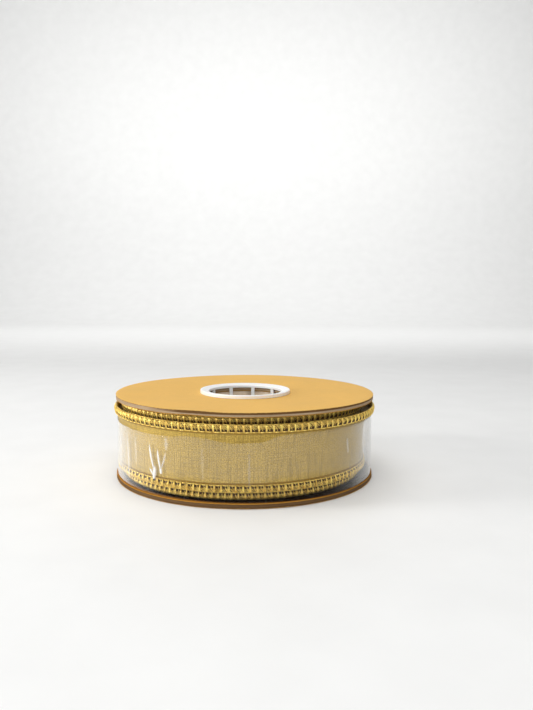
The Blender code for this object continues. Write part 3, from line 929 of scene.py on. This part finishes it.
# Creases: azimuth at the top and at the bottom in degrees, height of the top and of the bottom in
# millimetres, sideways bow in degrees, width and rise in millimetres.
CREASES = [
    (-131.1, -128.0, 26.5, 13.6, -0.5, 0.50, 0.32),
    (-126.6, -124.8, 24.6, 14.2, -0.2, 0.46, 0.30),
    (-122.3, -124.8, 23.8, 15.0, 0.3, 0.50, 0.15),
    (-130.9, -128.8, 14.6, 11.6, 0.0, 0.60, 0.30),
    (-128.1, -128.5, 16.4, 9.6, 0.0, 0.95, 0.32),
    (-125.0, -124.6, 16.0, 12.8, 0.0, 0.65, 0.30),
    (-122.5, -122.0, 31.0, 24.0, 0.2, 0.90, 0.10),
    (-106.6, -106.2, 29.0, 12.0, 0.1, 0.60, 0.05),
    (-88.6, -88.4, 27.0, 9.0, 0.1, 0.55, 0.06),
    (-44.6, -43.8, 29.0, 20.0, 0.1, 0.60, 0.12),
    (-42.6, -42.2, 16.0, 11.0, 0.1, 0.60, 0.08),
    (-141.0, -140.0, 29.5, 14.0, 0.3, 0.80, 0.08),
    (-148.0, -146.0, 29.0, 6.0, 0.6, 1.20, 0.12),
    (-156.0, -157.0, 28.0, 5.0, 0.4, 1.30, 0.14),
    (65.0, 66.0, 29.0, 8.0, 0.6, 0.60, 0.16),
    (128.0, 126.0, 28.0, 10.0, -0.5, 0.60, 0.16),
]


def film_crease(azimuth, height, crease):
    """A narrow ridge, 0 to 1, that bows a little and fades at its ends, and the share run down."""
    top_angle, bottom_angle, top, bottom, bow, width, _ = crease
    down = (top - height / MM) / (top - bottom)
    middle = np.radians(top_angle + (bottom_angle - top_angle) * down + bow * 4.0 * down * (1.0 - down))
    aside = ((azimuth - middle + math.pi) % TURN - math.pi) * FILM_RADIUS / MM
    slim = width * (0.45 + 0.55 * np.sin(math.pi * np.clip(down, 0.0, 1.0)))
    ends = smooth_step(down / 0.25) * smooth_step((1.0 - down) / 0.12)
    return np.exp(-(aside / slim) ** 2) * ends, down


def film_columns(first, last):
    """Azimuths for the film's grid, close together around each crease."""
    coarse = np.linspace(first, last, 460)
    fine = np.arange(first, last, math.radians(0.11))

    def near_crease(angle):
        near = np.zeros(angle.shape, bool)
        for crease in CREASES:
            middle = math.radians(0.5 * (crease[0] + crease[1]))
            reach = math.radians(0.5 * abs(crease[0] - crease[1]) + abs(crease[4]) + 1.6)
            near |= np.abs((angle - middle + math.pi) % TURN - math.pi) < reach
        return near

    return np.sort(np.concatenate([coarse[~near_crease(coarse)], fine[near_crease(fine)]]))


def build_film(looks):
    """The sleeve is a strip of film whose end laps over its start at the far side."""
    lap = math.radians(14.0)
    azimuth = film_columns(BACK - TURN - lap / 2, BACK + lap / 2)
    share = np.linspace(0.0, 1.0, 76)
    wrapped = (np.degrees(azimuth) + 180.0) % 360.0 - 180.0
    top = curve_through(wrapped, FILM_TOP_EDGE) * MM
    top = top + 0.12 * MM * wave_sum(azimuth, 8, (17, 29, 43))
    height = FILM_BOTTOM + 0.05 * MM + (top[:, None] - FILM_BOTTOM) * share[None]
    angle = np.broadcast_to(azimuth[:, None], height.shape)
    radius = np.full(height.shape, FILM_RADIUS - 0.08 * MM)
    radius = radius + 0.07 * MM * wave_sum(angle, 6, (4, 9, 14, 23), height)
    crease_highlight, raised = np.zeros(height.shape), np.zeros(height.shape)
    for crease in CREASES:
        ridge, down = film_crease(angle, height, crease)
        raised = np.maximum(raised, ridge * crease[-1] * MM * (0.4 + 0.9 * np.clip(down, 0.0, 1.0)))
        # This mask whitens the ridges in the film's look: painted highlight.
        crease_highlight = np.maximum(crease_highlight, ridge * min(1.0, crease[-1] / 0.3) ** 1.5)
    radius = radius + raised
    lapped = smooth_step((angle - (BACK - 1.5 * lap)) / lap)
    radius = radius + (0.22 * lapped - 0.1) * MM
    radius = radius - 0.25 * MM * smooth_step((share[None] - 0.95) / 0.05) * 0.4
    points = np.stack([radius * np.cos(angle), radius * np.sin(angle), height], axis=-1)
    film = grid_object("film_wrap", points, azimuth * FILM_RADIUS, share * (FILM_TOP - FILM_BOTTOM))
    film.data.materials.append(looks["film"])
    film.data.attributes.new("crease", "FLOAT", "POINT").data.foreach_set("value", crease_highlight.ravel())
    solidify(film, 0.05 * MM)
    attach(film, "film")
    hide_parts("film_sleeve")


# ---- small hidden pieces


def dress_tape(looks):
    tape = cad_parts["start_tape"]
    tape.data.materials.clear()
    tape.data.materials.append(looks["tape"])


# ---- stage


def build_floor(look):
    """A pale floor that curves up into a backdrop."""
    width, depth, rise, bend = 4.0, 2.2, 2.5, 0.6
    arc = np.linspace(0.0, 0.5 * math.pi, 16)
    outline = [(-3.0, 0.0), (depth - bend, 0.0)]
    outline += [(depth - bend + bend * math.sin(a), bend - bend * math.cos(a)) for a in arc[1:]]
    outline.append((depth, rise))
    rows = np.array([[(x, y, z) for x in (-width, width)] for y, z in outline])
    floor = grid_object("floor", rows[:, ::-1])
    floor.data.materials.append(look)


def add_area_light(name, place, aim, size, power, colour=(1.0, 1.0, 1.0)):
    light = bpy.data.lights.new(name, "AREA")
    light.shape = "RECTANGLE"
    light.size, light.size_y = size
    light.energy = power
    light.color = colour
    made = bpy.data.objects.new(name, light)
    made.location = place
    made.rotation_euler = (Vector(aim) - Vector(place)).to_track_quat("-Z", "Y").to_euler()
    bpy.context.scene.collection.objects.link(made)


def build_light():
    """A low window at the left, a wide soft light above and behind, and a washed backdrop."""
    world = bpy.data.worlds.new("room")
    bpy.context.scene.world = world
    world.use_nodes = True
    background = world.node_tree.nodes["Background"]
    background.inputs["Color"].default_value = (0.98, 0.99, 1.0, 1.0)
    background.inputs["Strength"].default_value = 0.27
    add_area_light("window", (-1.0, -0.12, 0.24), (0.0, 0.0, 0.03), (0.24, 0.42), 6.5, (1.0, 0.99, 0.97))
    add_area_light("ceiling", (-0.10, -0.10, 1.2), (0.0, 0.0, 0.0), (1.5, 1.1), 10.0)
    add_area_light("front_fill", (-0.05, -1.4, 0.60), (0.0, 0.0, 0.03), (1.2, 0.7), 7.5)
    add_area_light("backdrop_wash", (0.0, 0.9, 1.0), (0.0, 2.2, 0.55), (2.4, 0.5), 15.0)
    bpy.context.scene.view_settings.view_transform = "Standard"


def build_camera():
    camera = bpy.data.cameras.new("camera")
    camera.lens = LENS
    camera.clip_start = 0.01
    camera.clip_end = 20.0
    made = bpy.data.objects.new("camera", camera)
    ahead = Vector((
        math.sin(CAMERA_YAW) * math.cos(CAMERA_PITCH),
        math.cos(CAMERA_YAW) * math.cos(CAMERA_PITCH),
        -math.sin(CAMERA_PITCH),
    ))
    aim = ahead.to_track_quat("-Z", "Y").to_matrix().to_4x4()
    place = Matrix.Translation((0.0, -CAMERA_DISTANCE, CAMERA_HEIGHT))
    made.matrix_world = place @ aim @ Matrix.Rotation(CAMERA_ROLL, 4, "Z")
    bpy.context.scene.collection.objects.link(made)
    bpy.context.scene.camera = made


# ---- everything


def make_looks():
    return {
        "kraft": kraft_look("kraft_outer", (0.755, 0.445, 0.110), (0.13, 0.06, 0.018)),
        "kraft_inner": kraft_look(
            # The last tone is painted shade on the inner face under the ribbon roll.
            "kraft_inner", (0.42, 0.18, 0.025), (0.66, 0.33, 0.05), 0.03, (0.014, 0.007, 0.003)
        ),
        "board": board_look(
            "greyboard", ((0.26, 0.175, 0.10), (0.42, 0.30, 0.18), (0.54, 0.41, 0.27)),
            (0.13, 0.065, 0.02), TOP_BOARD_TOP - 0.95 * MM, TOP_BOARD_TOP - 0.65 * MM, 0.1,
        ),
        # The lower board is a darker copy of the greyboard: painted shade on its front-facing edge.
        "lower_board": board_look(
            "greyboard_lower", ((0.07, 0.035, 0.012), (0.14, 0.074, 0.028), (0.24, 0.145, 0.07)),
            (0.10, 0.05, 0.018), 1.1 * MM, 0.6 * MM, 0.6,
        ),
        "core": core_board_look(),
        "hub": hub_plastic_look(),
        "ribbon": ribbon_look("ribbon_taffeta", (0.57, 0.385, 0.075), 1.5),
        # The hem is a nearly black copy of the taffeta: painted shade in the hollows between the stitches.
        "hem": ribbon_look("ribbon_hem_painted_shade", (0.075, 0.038, 0.007), 0.7),
        "selvage": ribbon_look("ribbon_selvage", (0.34, 0.20, 0.02), 0.7),
        "thread": thread_look("gold_thread", (1.0, 0.72, 0.19), 0.65),
        "thread_dull": thread_look("gold_thread_inner", (0.60, 0.42, 0.14), 0.3),
        "wire": wire_look(),
        "tape": tape_look(),
        "film": film_look(),
    }


def main():
    build_camera()
    looks = make_looks()
    build_flanges(looks)
    build_hub(looks)
    dress_tape(looks)
    build_ribbon(looks)
    build_film(looks)
    build_floor(floor_look())
    build_light()


main()
